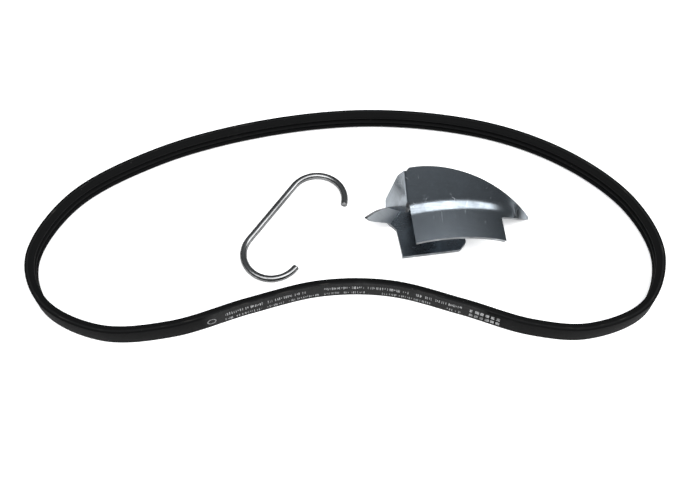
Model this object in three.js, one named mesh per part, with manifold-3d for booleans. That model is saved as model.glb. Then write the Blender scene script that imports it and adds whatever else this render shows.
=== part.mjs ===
// Stretch-belt kit: a 3-rib elastic drive belt standing on its edge, with the wire hook and the
// sheet-steel fitting shoe that come with it lying inside the loop.
//
// Millimetres, +Z up. The kit rests on z = 0 and its box is centred on x = y = 0.
// +X runs along the long way of the loop, and -Y is the side where the loop dips inwards.

import * as THREE from 'three';
import { ParametricGeometry } from 'three/addons/geometries/ParametricGeometry.js';
import { mergeVertices } from 'three/addons/utils/BufferGeometryUtils.js';
import Module from 'manifold-3d';

const wasm = await Module();
wasm.setup();

// ---------------------------------------------------------------- driving dimensions

// Belt: PK section
const BELT_LENGTH = 755;          // along the middle of the belt
const RIB_COUNT = 3;
const RIB_PITCH = 3.56;           // PK rib pitch
const RIB_FLANK_ANGLE = 40;       // degrees between the two flanks of a rib
const RIB_TIP_FLAT = 1.5;
const RIB_VALLEY_FLAT = 0.34;
const RIB_BASE = 0.3;             // rib compound left between the groove bottoms and the cord layer
const CORD_LAYER = 0.9;
const BACKING = 0.9;
const BELT_STEPS = 156;           // facets round the loop

// Wire hook
const WIRE = 3.4;
const HOOK_SHANK = 39.5;          // straight length between the two bends
const HOOK_BEND_RADIUS = 14.6;    // to the middle of the wire
const HOOK_FAR_BEND = 161;        // degrees turned by the bend away from the belt's dip
const HOOK_NEAR_BEND = 182;       // degrees turned by the other one
const HOOK_LEAN = 56;             // degrees from +X to the shank
const HOOK_X = -38.4;             // middle of the shank
const HOOK_BELT_GAP = 9.5;        // from the belt's inner face to the near bend, along Y

// Fitting shoe
const SHEET = 2;
const SHOE_TURN = 8;              // degrees, anticlockwise seen from above
const SHOE_X = 28.4;              // front left corner of the base plate
const SHOE_BELT_GAP = 18.3;       // from the belt's inner face to that corner, along Y
const BASE_WIDTH = 34;
const BASE_DEPTH = 31;
const BASE_CHAMFER = 4;
const EAR_START = 19;             // front end of the ear's fold, from the front edge
const EAR_OUTSET = 2;             // and how far left of the left edge it is
const EAR_LEAD = 3;               // the plate widens towards the ear over this length
const EAR_FOLD_LENGTH = 12.3;
const EAR_FOLD_LEAN = 50.5;       // degrees from +X to the fold
const EAR_RISE = 60;              // degrees the ear is folded up from the base plate
const RIM_GAP = 24.7;             // from the base plate up to the crest's underside
const SADDLE_RADIUS = 62.7;       // follows the rim of the pulley that the shoe is fitted to
const SADDLE_INSET = 5;           // left edge of the saddle, from that of the base plate
const SADDLE_WIDTH = 46;
const SADDLE_LENGTH = 17.6;       // from the front edge to the bend line
const SADDLE_SLOPE = 8;           // degrees, front edge lower
const SADDLE_OVERHANG = 5.8;      // front edge ahead of the base plate
const NOSE_HEIGHT = 1.62;         // top of the nose's tip above the table, where the arc runs out
const NOSE_STRIP = 5;             // saddle left in front of the bend line where the nose starts
const NOSE_FADE = 0.7;            // below 1 the strip stays wide and ends blunt
const NOSE_TIP = 1.2;             // width left at the very tip
const NOSE_LIFT = 1.8;            // the tip's place above the bend line, along the sheet
const FLARE_ANGLE = 41;           // degrees above the horizontal
const FLARE_HEIGHT = 20.4;        // along the sheet, at the left end
const FLARE_FADE = 1.75;          // above 1 the flare stays high and falls off near the nose
const FLARE_CORNER = 1.2;         // taken off the flare's upper left corner
const FLARE_BEND = 11;            // radius of the bend between saddle and flare
const CHEEK_FOLD = 74;            // degrees the cheek is folded back from the flare
const CHEEK_FOOT = 6.7;           // height of the cheek's lowest corner above the table
const CHEEK_BACK = 27.4;          // from the base plate's front edge back to that corner
const BRACKET_WIDTH = 16;         // rear web, and the tongue welded under the saddle
const BRACKET_BEND = 3;
const TONGUE_SETBACK = 4;         // tongue's end behind the front edge of the base plate
const WELD_GAP = 0.3;             // between the welded sheets

// ---------------------------------------------------------------- shared values

const rad = THREE.MathUtils.degToRad;
const BELT_WIDTH = RIB_COUNT * RIB_PITCH;
const RIB_FLANK_RUN = (RIB_PITCH - RIB_TIP_FLAT - RIB_VALLEY_FLAT) / 2;
const RIB_HEIGHT = RIB_FLANK_RUN / Math.tan(rad(RIB_FLANK_ANGLE / 2));
const BELT_THICKNESS = BACKING + CORD_LAYER + RIB_BASE + RIB_HEIGHT;

const rubber = (color) => new THREE.MeshStandardMaterial({ color, roughness: 0.8, metalness: 0 });
const zinc = (color, roughness) => new THREE.MeshStandardMaterial({ color, roughness, metalness: 1 });

// ---------------------------------------------------------------- helpers

/** A closed mesh with one vertex per corner, ready for a boolean. */
function weld(geometry) {
  const bare = new THREE.BufferGeometry();
  bare.setAttribute('position', geometry.attributes.position.clone());
  if (geometry.index) bare.setIndex(geometry.index.clone());
  const merged = mergeVertices(bare, 1e-4);
  const corner = merged.index.array;
  const kept = [];
  for (let i = 0; i < corner.length; i += 3) {
    const [a, b, c] = [corner[i], corner[i + 1], corner[i + 2]];
    if (a !== b && b !== c && c !== a) kept.push(a, b, c);
  }
  merged.setIndex(kept);
  return merged;
}

function solid(geometry) {
  const closed = weld(geometry);
  return new wasm.Manifold(new wasm.Mesh({
    numProp: 3,
    vertProperties: new Float32Array(closed.attributes.position.array),
    triVerts: new Uint32Array(closed.index.array),
  }));
}

function fromSolid(body) {
  const mesh = body.getMesh();
  const geometry = new THREE.BufferGeometry();
  geometry.setAttribute('position', new THREE.BufferAttribute(mesh.vertProperties, 3));
  geometry.setIndex(new THREE.BufferAttribute(mesh.triVerts, 1));
  const flat = geometry.toNonIndexed();
  flat.computeVertexNormals();
  return flat;
}

/** A named mesh. */
function piece(name, geometry, material) {
  const mesh = new THREE.Mesh(geometry, material);
  mesh.name = name;
  return mesh;
}

/** A flat plate from an outline of [x, y] corners, its underside at z = 0. */
function plate(corners, thickness) {
  const outline = new THREE.Shape(corners.map(([x, y]) => new THREE.Vector2(x, y)));
  return new THREE.ExtrudeGeometry(outline, { depth: thickness, bevelEnabled: false });
}

/** A profile of [y, z] corners, extruded along +X from x = from to x = to. */
function barAlongX(corners, from, to) {
  const bar = plate(corners, to - from);
  bar.applyMatrix4(new THREE.Matrix4().set(0, 0, 1, from, 1, 0, 0, 0, 0, 1, 0, 0, 0, 0, 0, 1));
  return bar;
}

/**
 * A bent sheet as a closed mesh. surface(a, b) gives a point of a face for a and b from 0 to 1,
 * and the sheet reaches from above that face to below it.
 */
function bentSheet(surface, above, below, stepsA, stepsB) {
  const nudge = 1e-3;
  const beside = (a, b, height) => {
    const at = surface(a, b);
    const along = surface(a + nudge, b).sub(surface(a - nudge, b));
    const across = surface(a, b + nudge).sub(surface(a, b - nudge));
    return at.addScaledVector(along.cross(across).normalize(), height);
  };
  // round the sheet: out over the upper face, back under the lower one; the two end rows are
  // folded onto the middle of the sheet, which closes its ends
  const loops = 2 * (stepsB + 1);
  const rows = stepsA + 2;
  const place = (u, v, target) => {
    const row = Math.round(u * rows);
    const around = Math.round(v * loops) % loops;
    const upper = around <= stepsB;
    const b = (upper ? around : loops - 1 - around) / stepsB;
    const a = THREE.MathUtils.clamp((row - 1) / stepsA, 0, 1);
    const height = row === 0 || row === rows ? (above - below) / 2 : upper ? above : -below;
    target.copy(beside(a, b, height));
  };
  return new ParametricGeometry(place, rows, loops);
}

// ---------------------------------------------------------------- belt

/** The way the relaxed loop lies, seen from above, scaled to the belt's length. */
function beltPath() {
  // left end, along the near run that dips inwards, right end, and back along the far run
  const shape = [
    [-157, -24], [-147, -49], [-118, -63.5], [-84, -61.5], [-47, -49], [-12, -39.5],
    [22, -39.5], [57, -49.5], [90, -60.5], [118, -62.5], [146, -50], [157, -23],
    [148, 7], [122, 34], [80, 55], [18, 64.5], [-45, 57.5], [-102, 38], [-142, 10],
  ].map(([x, y]) => new THREE.Vector3(x, y, 0));
  const drawn = new THREE.CatmullRomCurve3(shape, true, 'centripetal');
  const scale = BELT_LENGTH / drawn.getLength();
  const path = new THREE.CatmullRomCurve3(shape.map((p) => p.multiplyScalar(scale)), true, 'centripetal');
  path.arcLengthDivisions = 2000;
  return path;
}

const path = beltPath();
const outline = new THREE.Box3().setFromPoints(path.getSpacedPoints(2000));
const middle = outline.getCenter(new THREE.Vector3());

/** A point beside the belt's middle line: out is positive towards the smooth back. */
function beside(share, out, z) {
  const at = path.getPointAt(share % 1).sub(middle);
  const along = path.getTangentAt(share % 1);
  return new THREE.Vector3(at.x + along.y * out, at.y - along.x * out, z);
}

/** A section of [out, z] corners carried once round the loop. */
function beltRing(section) {
  const place = (u, v, target) => {
    const [out, z] = section[Math.round(v * section.length) % section.length];
    target.copy(beside(Math.round(u * BELT_STEPS) / BELT_STEPS, out, z));
  };
  return weld(new ParametricGeometry(place, BELT_STEPS, section.length)).toNonIndexed();
}

const BACK_FACE = BELT_THICKNESS / 2;
const CORD_TOP = BACK_FACE - BACKING;
const CORD_BOTTOM = CORD_TOP - CORD_LAYER;
const GROOVE_BOTTOM = CORD_BOTTOM - RIB_BASE;

/** The layer between two distances from the middle line, over the belt's full width. */
function beltLayer(inner, outer) {
  return beltRing([[inner, 0], [outer, 0], [outer, BELT_WIDTH], [inner, BELT_WIDTH]]);
}

/** The ribbed layer: half a valley, then flank, tip, flank for each rib. */
function ribSection() {
  const corners = [[CORD_BOTTOM, BELT_WIDTH], [GROOVE_BOTTOM, BELT_WIDTH]];
  for (let rib = RIB_COUNT; rib > 0; rib -= 1) {
    const centre = (rib - 0.5) * RIB_PITCH;
    const root = RIB_TIP_FLAT / 2 + RIB_FLANK_RUN;
    corners.push([GROOVE_BOTTOM, centre + root], [GROOVE_BOTTOM - RIB_HEIGHT, centre + RIB_TIP_FLAT / 2]);
    corners.push([GROOVE_BOTTOM - RIB_HEIGHT, centre - RIB_TIP_FLAT / 2], [GROOVE_BOTTOM, centre - root]);
  }
  corners.push([GROOVE_BOTTOM, 0], [CORD_BOTTOM, 0]);
  return corners;
}

function belt() {
  const group = new THREE.Group();
  group.add(
    piece('belt_backing', beltLayer(CORD_TOP, BACK_FACE), rubber(0x1d1d1f)),
    piece('belt_cord_layer', beltLayer(CORD_BOTTOM, CORD_TOP), rubber(0x2a2724)),
    piece('belt_ribs', beltRing(ribSection()), rubber(0x202022)),
  );
  return group;
}

/** Y of the inner face of the belt's near run (the one that dips) at a given x. */
function nearFaceY(x) {
  const samples = 1500;               // one each half millimetre
  let best = 0;
  let gap = Infinity;
  for (let i = 0; i < samples; i += 1) {
    const at = beside(i / samples, -BELT_THICKNESS / 2, 0);
    if (at.y < 0 && Math.abs(at.x - x) < gap) {
      gap = Math.abs(at.x - x);
      best = at.y;
    }
  }
  return best;
}

// ---------------------------------------------------------------- wire hook

/** The middle of the wire, with both bends turning the same way, so that the hook is an open C. */
class HookPath extends THREE.Curve {
  getPoint(share, target = new THREE.Vector3()) {
    const near = HOOK_BEND_RADIUS * rad(HOOK_NEAR_BEND);
    const far = HOOK_BEND_RADIUS * rad(HOOK_FAR_BEND);
    const run = share * (near + HOOK_SHANK + far) - near - HOOK_SHANK / 2;
    const beyond = Math.abs(run) - HOOK_SHANK / 2;
    if (beyond <= 0) return target.set(0, run, 0);
    const turn = beyond / HOOK_BEND_RADIUS;
    const y = HOOK_SHANK / 2 + HOOK_BEND_RADIUS * Math.sin(turn);
    return target.set(HOOK_BEND_RADIUS * (1 - Math.cos(turn)), Math.sign(run) * y, 0);
  }
}

function hook() {
  const section = new THREE.Shape().absarc(0, 0, WIRE / 2, 0, 2 * Math.PI);
  const wire = new THREE.ExtrudeGeometry(section, {
    steps: 60, curveSegments: 10, bevelEnabled: false, extrudePath: new HookPath(),
  });
  const mesh = piece('wire_hook', wire, zinc(0xb9bcc0, 0.35));
  const lean = rad(HOOK_LEAN - 90);
  mesh.rotation.z = lean;
  const nearBend = new THREE.Vector3(HOOK_BEND_RADIUS, -HOOK_SHANK / 2, 0)
    .applyAxisAngle(new THREE.Vector3(0, 0, 1), lean);
  const reach = HOOK_BELT_GAP + WIRE / 2 + HOOK_BEND_RADIUS;
  mesh.position.set(HOOK_X, nearFaceY(HOOK_X + nearBend.x) + reach - nearBend.y, WIRE / 2);
  return mesh;
}

// ---------------------------------------------------------------- fitting shoe

// Its own axes: x from the left edge of the base plate, y from the front edge, z from the table.
const CREST_X = BASE_WIDTH / 2;
const CREST_Z = SHEET + RIM_GAP + SHEET;              // top of the crest, on the bend line
const BEND_Y = SADDLE_LENGTH * Math.cos(rad(SADDLE_SLOPE)) - SADDLE_OVERHANG;
const SADDLE_RIGHT = SADDLE_INSET + SADDLE_WIDTH;

/** How far the pulley's round takes the saddle below its crest. */
const archDrop = (x) => SADDLE_RADIUS - Math.sqrt(SADDLE_RADIUS ** 2 - (x - CREST_X) ** 2);
/** And how far right of the crest it has dropped that much. */
const archRun = (drop) => Math.sqrt(SADDLE_RADIUS ** 2 - (SADDLE_RADIUS - drop) ** 2);

const NOSE_X = CREST_X + archRun(CREST_Z - NOSE_HEIGHT);

/** A line through the corners with each inner corner bent to a radius. */
function bendPath(corners, radius) {
  const bent = new THREE.CurvePath();
  let from = corners[0];
  corners.slice(1, -1).forEach((corner, i) => {
    const into = corner.clone().sub(corners[i]).normalize();
    const out = corners[i + 2].clone().sub(corner).normalize();
    const tangent = radius * Math.tan(into.angleTo(out) / 2);
    const start = corner.clone().addScaledVector(into, -tangent);
    const end = corner.clone().addScaledVector(out, tangent);
    bent.add(new THREE.LineCurve(from, start));
    bent.add(new THREE.QuadraticBezierCurve(start, corner, end));
    from = end;
  });
  bent.add(new THREE.LineCurve(from, corners[corners.length - 1]));
  return bent;
}

// The guide's upper face follows this line of [y, z] and is carried along x over the arch. The
// line runs on past both edges, so that the same face serves the pieces that trim them.
const TRIM = 6;
const guideLine = (() => {
  const saddle = new THREE.Vector2(Math.cos(rad(SADDLE_SLOPE)), Math.sin(rad(SADDLE_SLOPE)));
  const flare = new THREE.Vector2(Math.cos(rad(FLARE_ANGLE)), Math.sin(rad(FLARE_ANGLE)));
  const corner = new THREE.Vector2(BEND_Y, CREST_Z);
  return bendPath([
    corner.clone().addScaledVector(saddle, -SADDLE_LENGTH - TRIM),
    corner,
    corner.clone().addScaledVector(flare, FLARE_HEIGHT + TRIM),
  ], FLARE_BEND);
})();
const guideLength = guideLine.getLength();
const [saddleRun, bendRun] = guideLine.curves.map((curve) => curve.getLength());
const bendMiddle = saddleRun + bendRun / 2;

/** A point of the guide's upper face, up being the way along the sheet from the bend line. */
function guideFace(x, up) {
  const at = guideLine.getPoint((bendMiddle + up) / guideLength);
  return new THREE.Vector3(x, at.x, at.y - archDrop(x));
}

/** A patch of the guide's sheet between two places in x and two edges that may vary with x. */
function guidePatch([left, right], low, high, above, below, steps) {
  const face = (a, b) => {
    const x = left + a * (right - left);
    return guideFace(x, low(x) + b * (high(x) - low(x)));
  };
  return solid(bentSheet(face, above, below, ...steps));
}

/** Where the flare's free edge is, along the sheet from the bend line. */
function flareEdge(x) {
  const share = THREE.MathUtils.clamp((x - SADDLE_INSET) / (NOSE_X - SADDLE_INSET), 0, 1);
  const tip = NOSE_LIFT + NOSE_TIP / 2;
  const corner = Math.max(0, FLARE_CORNER - (x - SADDLE_INSET));
  return tip + (FLARE_HEIGHT - tip) * (1 - share ** FLARE_FADE) - corner;
}

/** Where the lower edge of the nose is, in front of the bend line. */
function noseEdge(x) {
  const share = THREE.MathUtils.clamp((x - SADDLE_RIGHT) / (NOSE_X - SADDLE_RIGHT), 0, 1);
  const tip = NOSE_LIFT - NOSE_TIP / 2;
  return tip - (NOSE_STRIP + tip) * (1 - share) ** NOSE_FADE;
}

/** A flat flap: outline of [along, away] corners in the plane of two directions, solid behind it. */
function flap(corners, origin, along, away, facing) {
  const basis = new THREE.Matrix4().makeBasis(along, away, facing);
  basis.setPosition(origin);
  return solid(plate(corners, SHEET).translate(0, 0, -SHEET).applyMatrix4(basis));
}

/** The cheek: folded back from the flare's left edge, and drawn in to a corner that meets the ear. */
function cheek() {
  const start = guideFace(SADDLE_INSET, bendRun / 2);
  const along = guideFace(SADDLE_INSET, FLARE_HEIGHT).sub(start).normalize();
  const behind = new THREE.Vector3(0, along.z, -along.y);
  const fold = rad(CHEEK_FOLD);
  const away = new THREE.Vector3(-Math.cos(fold), 0, 0).addScaledVector(behind, Math.sin(fold));
  const facing = along.clone().cross(away);
  const rise = FLARE_HEIGHT - bendRun / 2;
  const root = -SHEET / 2;            // the flap starts inside the flare, which joins the two
  // the lowest corner: foot along plus reach away from the start, in y and z
  const [back, down] = [CHEEK_BACK - start.y, CHEEK_FOOT - start.z];
  const cross = along.y * away.z - along.z * away.y;
  const foot = (back * away.z - down * away.y) / cross;
  const reach = (along.y * down - along.z * back) / cross;
  const top = rise - FLARE_CORNER;
  const corners = [
    [-2, root], [top, root], [top, 0], [rise - 3.9, 7.6], [-0.8, reach - 0.8], [foot, reach], [foot, 2.5],
    [-2.8, 0],
  ];
  return flap(corners, start, along, away, facing);
}

function shoeGuide() {
  const steps = { wide: 40, nose: 14, long: 26 };
  const front = () => -SADDLE_LENGTH;
  const ahead = () => -SADDLE_LENGTH - TRIM / 2;
  const top = () => FLARE_HEIGHT;
  const above = () => FLARE_HEIGHT + TRIM / 2;
  const [left, right, past] = [SADDLE_INSET, NOSE_X, TRIM / 6];
  const thick = [SHEET, 2 * SHEET];
  const blank = guidePatch([left, right], front, top, 0, SHEET, [steps.wide, steps.long]);
  const overFlare = guidePatch([left - past, right + past], flareEdge, above, ...thick, [steps.wide, 1]);
  const underNose = guidePatch([SADDLE_RIGHT, right + past], ahead, noseEdge, ...thick, [steps.nose, 1]);
  const sheet = blank.subtract(overFlare).subtract(underNose).add(cheek());
  return piece('shoe_guide', fromSolid(sheet), zinc(0xa9adb2, 0.3));
}

/** The ear: a horn-shaped flap folded up from the base plate's back left corner. */
function ear() {
  const lean = rad(EAR_FOLD_LEAN);
  const along = new THREE.Vector3(Math.cos(lean), Math.sin(lean), 0);
  const away = new THREE.Vector3(-Math.sin(lean), Math.cos(lean), 0)
    .multiplyScalar(Math.cos(rad(EAR_RISE)))
    .setZ(Math.sin(rad(EAR_RISE)));
  const facing = along.clone().cross(away);
  const root = -SHEET / 2;            // inside the base plate
  const corners = [
    [0, root], [EAR_FOLD_LENGTH, root], [EAR_FOLD_LENGTH, 2.4], [4.3, 7.8], [-2, 12.3], [-10.4, 16],
    [-8.9, 11.9], [-5.5, 7.4], [-1.4, 2.4], [0, 0],
  ];
  return flap(corners, new THREE.Vector3(-EAR_OUTSET, EAR_START, SHEET), along, away, facing);
}

/** The strip of sheet along a line of [y, z], as a closed outline. */
function stripOutline(line, steps) {
  const sides = [1, -1].map((side) => Array.from({ length: steps + 1 }, (_, i) => {
    const at = line.getPoint(i / steps);
    const along = line.getTangent(i / steps);
    return [at.x - along.y * side * SHEET / 2, at.y + along.x * side * SHEET / 2];
  }));
  return [...sides[1], ...sides[0].reverse()];
}

function shoeBase() {
  const foldEnd = [
    -EAR_OUTSET + EAR_FOLD_LENGTH * Math.cos(rad(EAR_FOLD_LEAN)),
    EAR_START + EAR_FOLD_LENGTH * Math.sin(rad(EAR_FOLD_LEAN)),
  ];
  const rearBend = BASE_DEPTH - SHEET / 2 - BRACKET_BEND;
  const base = solid(plate([
    [0, 0], [BASE_WIDTH - BASE_CHAMFER, 0], [BASE_WIDTH, BASE_CHAMFER], [BASE_WIDTH, rearBend],
    [foldEnd[0], rearBend + SHEET / 2], foldEnd, [-EAR_OUTSET, EAR_START], [0, EAR_START - EAR_LEAD],
  ], SHEET));
  // the bracket starts in the base plate, turns up at the rear and runs forward under the saddle
  const slope = Math.tan(rad(SADDLE_SLOPE));
  const drop = archDrop(CREST_X + BRACKET_WIDTH / 2) + WELD_GAP + SHEET / 2;
  const tongueZ = (y) => CREST_Z - SHEET - drop - (BEND_Y - y) * slope;
  const rear = BASE_DEPTH - SHEET / 2;
  const bracketLine = bendPath([
    new THREE.Vector2(rearBend - BASE_DEPTH / 4, SHEET / 2),
    new THREE.Vector2(rear, SHEET / 2),
    new THREE.Vector2(rear, tongueZ(rear)),
    new THREE.Vector2(TONGUE_SETBACK, tongueZ(TONGUE_SETBACK)),
  ], BRACKET_BEND);
  const half = BRACKET_WIDTH / 2;
  const bracket = solid(barAlongX(stripOutline(bracketLine, 60), CREST_X - half, CREST_X + half));
  return piece('shoe_base', fromSolid(base.add(bracket).add(ear())), zinc(0x6f757c, 0.35));
}

function shoe() {
  const group = new THREE.Group().add(shoeGuide(), shoeBase());
  group.rotation.z = rad(SHOE_TURN);
  group.position.set(SHOE_X, nearFaceY(SHOE_X) + SHOE_BELT_GAP, 0);
  return group;
}

export default new THREE.Group().add(belt(), hook(), shoe());
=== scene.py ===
"""Looks of a stretch-belt kit: a ribbed drive belt on its edge, a wire hook and a fitting shoe.

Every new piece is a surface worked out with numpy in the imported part's own frame, in metres, and it
rides on the body whose solids it stands for. Sizes are given in millimetres and turned into metres
where a mesh is made.
"""

import logging  # noqa: E402
from dataclasses import dataclass, field  # noqa: E402
from enum import Enum  # noqa: E402
from typing import Any, Callable, Sequence  # noqa: E402

import bpy  # noqa: E402
import numpy as np  # noqa: E402
from numpy.typing import NDArray  # noqa: E402
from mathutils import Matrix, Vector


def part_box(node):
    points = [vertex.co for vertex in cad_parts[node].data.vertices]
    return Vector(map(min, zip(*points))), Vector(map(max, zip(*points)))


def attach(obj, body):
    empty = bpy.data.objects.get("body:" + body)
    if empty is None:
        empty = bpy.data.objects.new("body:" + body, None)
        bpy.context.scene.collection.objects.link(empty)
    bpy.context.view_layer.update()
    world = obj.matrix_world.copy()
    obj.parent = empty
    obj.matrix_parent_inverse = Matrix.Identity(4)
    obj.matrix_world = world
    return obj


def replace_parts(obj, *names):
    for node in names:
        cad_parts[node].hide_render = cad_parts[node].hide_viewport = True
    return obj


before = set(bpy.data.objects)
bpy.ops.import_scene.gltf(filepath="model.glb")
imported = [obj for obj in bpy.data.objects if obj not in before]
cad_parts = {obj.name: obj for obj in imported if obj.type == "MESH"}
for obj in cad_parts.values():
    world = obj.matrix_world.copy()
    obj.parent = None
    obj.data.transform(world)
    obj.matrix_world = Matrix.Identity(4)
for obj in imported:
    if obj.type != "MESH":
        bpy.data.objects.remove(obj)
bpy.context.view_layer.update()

MM = 0.001
Array = NDArray[np.float64]
Index = NDArray[np.int64]
Outline = tuple[tuple[float, float], ...]
log = logging.getLogger("stretch_belt_kit")


class Body(Enum):
    """The bodies that the pieces ride on."""

    BELT = "belt"
    HOOK = "hook"
    SHOE = "shoe"


# ---------------------------------------- surfaces


def grid_faces(rows: int, columns: int, wrap_rows: bool = False, wrap_columns: bool = False) -> Index:
    """Quads between neighbouring points of a grid: (i, j), (i+1, j), (i+1, j+1), (i, j+1).

    Args:
        rows: points along the first parameter.
        columns: points along the second parameter.
        wrap_rows: join the last row to the first.
        wrap_columns: join the last column to the first.

    Returns:
        An array of four point numbers for each quad.
    """
    i, j = np.meshgrid(
        np.arange(rows if wrap_rows else rows - 1),
        np.arange(columns if wrap_columns else columns - 1),
        indexing="ij",
    )
    i2, j2 = (i + 1) % rows, (j + 1) % columns
    quads = np.stack([i * columns + j, i2 * columns + j, i2 * columns + j2, i * columns + j2], -1)
    return quads.reshape(-1, 4)


def stitch(edge: Index, rows: int, first: int) -> Index:
    """Quads of a grid whose first row is an edge that is already there.

    Args:
        edge: the numbers of the edge's points.
        rows: how many rows of new points follow it, each as long as the edge.
        first: the number of the first new point.

    Returns:
        An array of four point numbers for each quad.
    """
    numbers = np.vstack([edge, first + np.arange(rows * len(edge)).reshape(rows, -1)])
    return numbers.ravel()[grid_faces(rows + 1, len(edge))]


def pulled(a: Array, corner: Array, b: Array, t: Array) -> Array:
    """The curve (1-t)^2 a + 2t(1-t) corner + t^2 b, from a to b and pulled towards the corner."""
    return (1 - t) ** 2 * a + 2 * t * (1 - t) * corner + t**2 * b


def make_piece(
    name: str,
    points: Array,
    faces: Sequence[Sequence[int]],
    uv: Array | None = None,
    period: float = 0.0,
) -> bpy.types.Object:
    """Makes an object at the origin from points in millimetres.

    Args:
        name: the piece's name.
        points: one row of x, y, z for each point.
        faces: point numbers of each face, anticlockwise from outside.
        uv: one row of u, v for each point, in metres.
        period: the length after which u starts again, so that the seam's faces don't run backwards.

    Returns:
        The object, smooth shaded.
    """
    mesh = bpy.data.meshes.new(name)
    mesh.from_pydata((points * MM).tolist(), [], [list(map(int, face)) for face in faces])
    mesh.update()
    if uv is not None:
        corner = np.empty(len(mesh.loops), np.int64)
        mesh.loops.foreach_get("vertex_index", corner)
        laid = uv[corner].copy()
        if period:
            quads = laid[:, 0].reshape(-1, 4)
            behind = quads < quads.max(axis=1, keepdims=True) - period / 2
            laid[:, 0] = (quads + behind * period).ravel()
        mesh.uv_layers.new(name="lay").data.foreach_set("uv", laid.astype(np.float32).ravel())
    mesh.polygons.foreach_set("use_smooth", np.ones(len(mesh.polygons), bool))
    obj = bpy.data.objects.new(name, mesh)
    bpy.context.scene.collection.objects.link(obj)
    return obj


def rounded(corners: Array, radii: Array, steps: int) -> Array:
    """Rounds the corners of a closed outline.

    Each corner c becomes the pulled curve from a to b, which lie on its two sides at its radius.

    Args:
        corners: the outline, one row of two numbers for each corner.
        radii: the distance from each corner at which its curve starts and ends.
        steps: points on each curve.

    Returns:
        The rounded outline.
    """
    before, after = np.roll(corners, 1, axis=0), np.roll(corners, -1, axis=0)
    into = (before - corners) / np.linalg.norm(before - corners, axis=1, keepdims=True)
    out = (after - corners) / np.linalg.norm(after - corners, axis=1, keepdims=True)
    start, end = corners + into * radii[:, None], corners + out * radii[:, None]
    t = np.linspace(0, 1, steps)[None, :, None]
    return pulled(start[:, None], corners[:, None], end[:, None], t).reshape(-1, 2)


def smooth_noise(count: int, waves: int, seed: int) -> Array:
    """A closed line of soft bumps from 0 to 1: a sum of sines with seeded phases, higher ones weaker.

    Args:
        count: how many values go round the loop.
        waves: the highest number of bumps in the loop.
        seed: fixes the phases.

    Returns:
        The values, the last one leading back to the first.
    """
    draw = np.random.default_rng(seed)
    number = np.unique(np.geomspace(max(2, waves // 12), waves, 24).astype(int))
    phase = draw.uniform(0, 2 * np.pi, len(number))
    turn = np.linspace(0, 2 * np.pi, count, endpoint=False)
    total = (np.sin(turn[:, None] * number + phase) / np.sqrt(number)).sum(axis=1)
    return (total - total.min()) / (total.max() - total.min())


def through(points: Array, shares: Array) -> Array:
    """A smooth line through points: the uniform Catmull-Rom cubic of each stretch, with straight run-outs.

    Args:
        points: the points, one row each.
        shares: where along the line to read it, from 0 to 1, the points being evenly spread.

    Returns:
        One row for each share.
    """
    full = np.vstack([2 * points[0] - points[1], points, 2 * points[-1] - points[-2]])
    place = np.clip(shares, 0, 1) * (len(points) - 1)
    k = np.minimum(place.astype(int), len(points) - 2)
    t = (place - k)[:, None]
    a, b, c, d = full[k], full[k + 1], full[k + 2], full[k + 3]
    return 0.5 * (2 * b + (c - a) * t + (2 * a - 5 * b + 4 * c - d) * t**2 + (3 * b - a - 3 * c + d) * t**3)


def thicken(obj: bpy.types.Object, thickness: float, edge: float, segments: int = 3) -> bpy.types.Modifier:
    """Gives a one-layer sheet its thickness on the side away from its normals, and breaks its edges.

    Args:
        obj: the sheet.
        thickness: the sheet's thickness in millimetres.
        edge: how far the sheared edges are rounded, in millimetres.
        segments: facets across a rounded edge.

    Returns:
        The modifier that gives the thickness.
    """
    solidify = obj.modifiers.new("sheet", "SOLIDIFY")
    solidify.thickness = thickness * MM
    solidify.offset = -1
    solidify.use_even_offset = True
    bevel = obj.modifiers.new("sheared_edge", "BEVEL")
    bevel.width = edge * MM
    bevel.segments = segments
    bevel.limit_method = "ANGLE"
    bevel.angle_limit = np.radians(50)
    bevel.harden_normals = True
    return solidify


# ---------------------------------------- materials


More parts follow.
